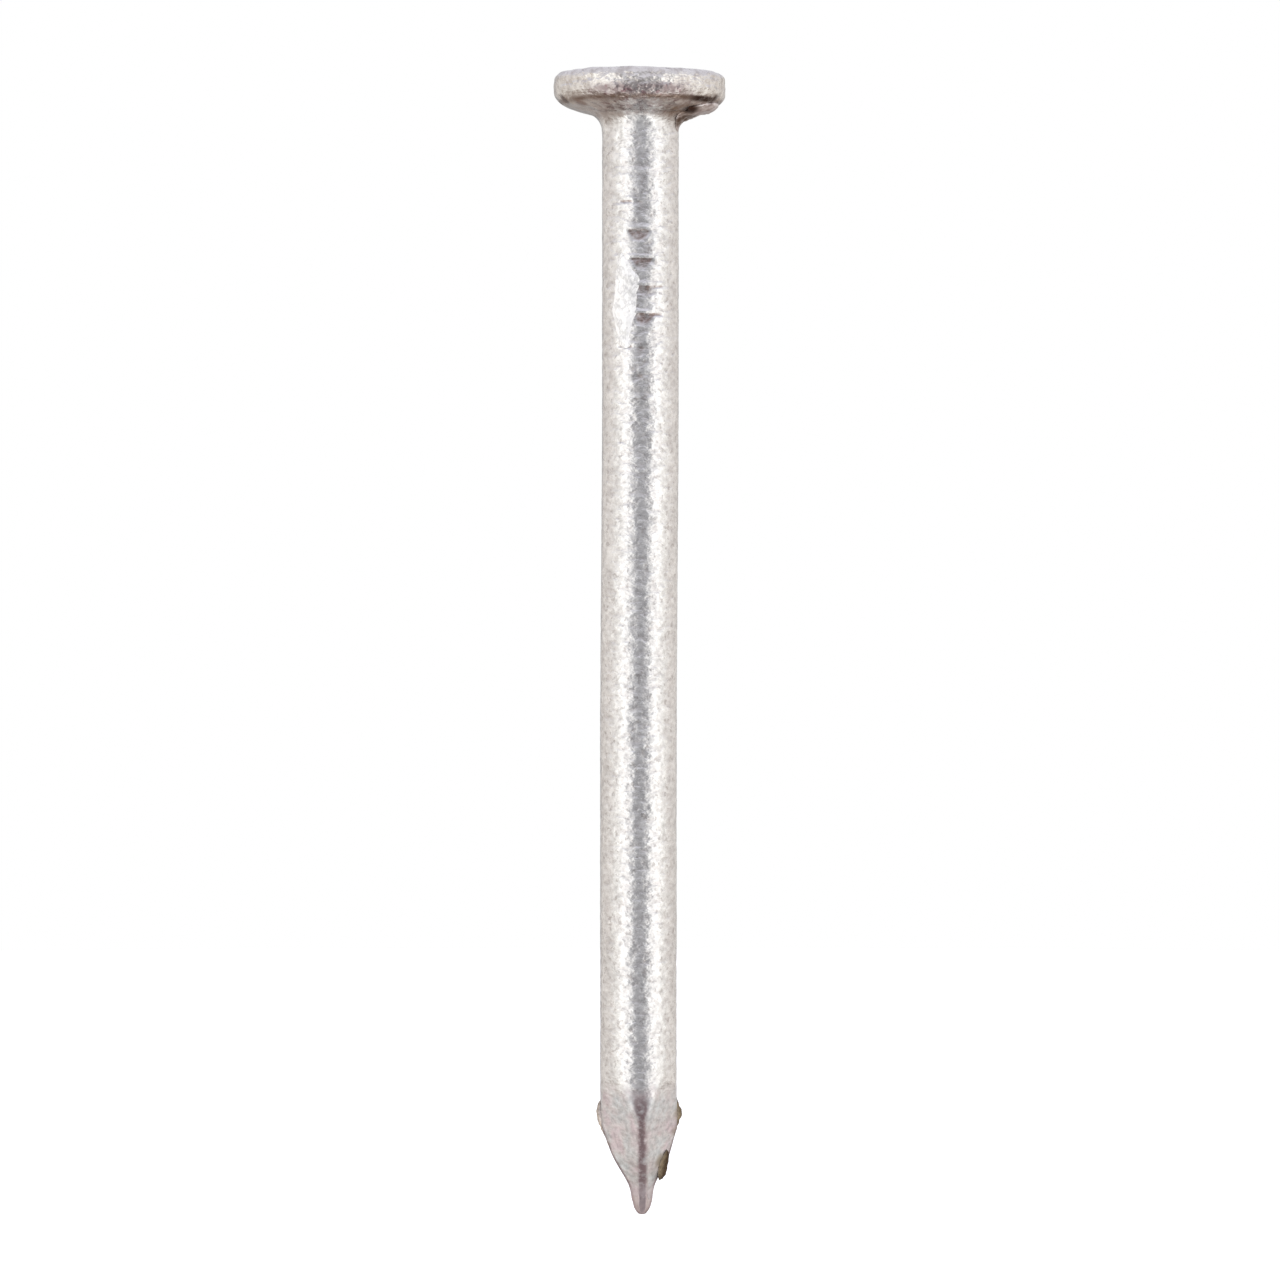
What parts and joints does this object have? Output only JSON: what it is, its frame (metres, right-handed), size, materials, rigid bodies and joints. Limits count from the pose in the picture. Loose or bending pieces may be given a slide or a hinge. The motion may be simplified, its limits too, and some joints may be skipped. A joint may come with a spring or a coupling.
{
  "type": "round wire nail",
  "caption": "Hot-dip galvanised round wire nail with a wide flat head, a filleted neck, grip marks under the head and a four-sided diamond point with thin flash fins.",
  "frame": {"origin": "on the nail's axis, level with the lower edge of the head's rim, where the nominal length starts: 1.4 mm below the striking face and 50 mm above the tip", "axes": "+Z along the shank from the tip to the head; the two flash fins lie along -X and +X, and the gripping dies left their marks on the -Y and +Y sides"},
  "size_m": [0.0078, 0.0078, 0.0514],
  "materials": {
    "bare_steel": "satin",
    "galvanised_zinc": "satin",
    "dirty_flash": "matte",
    "bright_zinc": "satin"
  },
  "bodies": {
    "root": {"steel_body": "bare_steel", "zinc_coating": "galvanised_zinc", "left_flash_fin": "dirty_flash", "right_flash_fin": "dirty_flash", "flash_curl": "dirty_flash", "zinc_run": "bright_zinc", "zinc_bead": "bright_zinc"}
  },
  "joints": []
}
